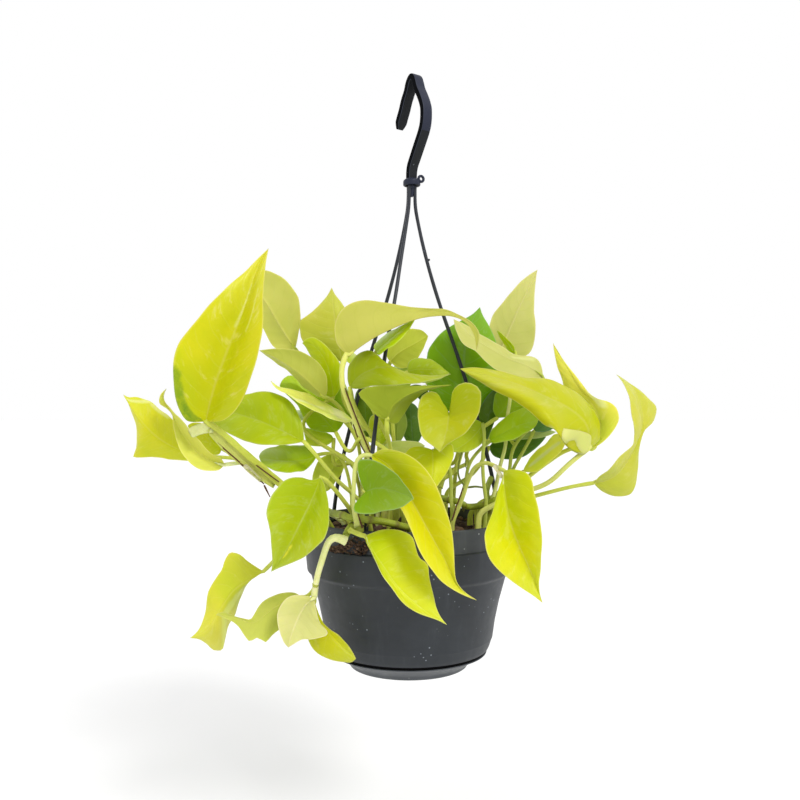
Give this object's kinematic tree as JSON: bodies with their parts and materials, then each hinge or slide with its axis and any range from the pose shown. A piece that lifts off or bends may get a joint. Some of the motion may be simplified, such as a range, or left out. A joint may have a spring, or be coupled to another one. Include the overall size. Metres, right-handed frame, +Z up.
{
  "type": "potted golden pothos in a hanging pot",
  "caption": "Golden pothos with heart-shaped lime leaves on long stalks, growing in a grey plastic hanging pot with a clip-on saucer, three thin hanger rods and a flat hook.",
  "frame": {"origin": "the point inside the top of the hook's bend where the hook bears on what it hangs from", "axes": "+Z up along the hanging pot's axis direction, +X to the right and +Y to the back as seen from the front view"},
  "size_m": [0.3991, 0.2703, 0.4334],
  "materials": {
    "leaf_dark": "waxy smooth leaf",
    "leaf_green": "waxy smooth leaf",
    "leaf_grey": "waxy smooth leaf",
    "leaf_lime": "waxy smooth leaf",
    "leaf_limegreen": "waxy smooth leaf",
    "leaf_limepale": "waxy smooth leaf",
    "leaf_olive": "waxy smooth leaf",
    "leaf_pale": "waxy smooth leaf",
    "stem": "smooth green stem",
    "pot": "moulded, dusty satin",
    "saucer": "moulded, satin",
    "hanger": "moulded, satin",
    "soil": "loose bark potting mix"
  },
  "bodies": {
    "root": {"leaf_01": "leaf_lime", "leaf_02": "leaf_pale", "leaf_03": "leaf_limegreen", "leaf_04": "leaf_pale", "leaf_05": "leaf_limegreen", "leaf_06": "leaf_lime", "leaf_07": "leaf_pale", "leaf_08": "leaf_green", "leaf_09": "leaf_limegreen", "leaf_10": "leaf_green", "leaf_11": "leaf_lime", "leaf_12": "leaf_green", "leaf_13": "leaf_green", "leaf_14": "leaf_limegreen", "leaf_15": "leaf_olive", "leaf_16": "leaf_pale", "leaf_16b": "leaf_pale", "leaf_17": "leaf_green", "leaf_18": "leaf_pale", "leaf_19": "leaf_limegreen", "leaf_20": "leaf_limegreen", "leaf_21": "leaf_grey", "leaf_22": "leaf_lime", "leaf_23": "leaf_dark", "leaf_24": "leaf_pale", "leaf_25": "leaf_green", "leaf_26": "leaf_lime", "leaf_27": "leaf_lime", "leaf_29": "leaf_lime", "leaf_30": "leaf_green", "leaf_31": "leaf_lime", "leaf_32": "leaf_limegreen", "leaf_33": "leaf_lime", "leaf_34": "leaf_lime", "leaf_35": "leaf_green", "leaf_36": "leaf_lime", "leaf_37": "leaf_lime", "leaf_38": "leaf_dark", "leaf_39": "leaf_lime", "leaf_40": "leaf_limepale", "leaf_41": "leaf_pale", "leaf_43": "leaf_green", "leaf_44": "leaf_green", "shoot_back_left": "leaf_lime", "shoot_back_mid": "leaf_lime", "shoot_back_centre": "leaf_green", "shoot_back_right": "leaf_green", "shoot_right": "leaf_limegreen", "trailer_back_left": "leaf_lime", "trailer_back_right": "leaf_lime", "vine_front_left": "stem", "vine_right": "stem", "vine_over_rim": "stem", "pot": "pot", "saucer": "saucer", "soil": "soil", "hook": "hanger", "hanger_rod_left": "hanger", "hanger_rod_front": "hanger", "hanger_rod_right": "hanger"}
  },
  "joints": []
}
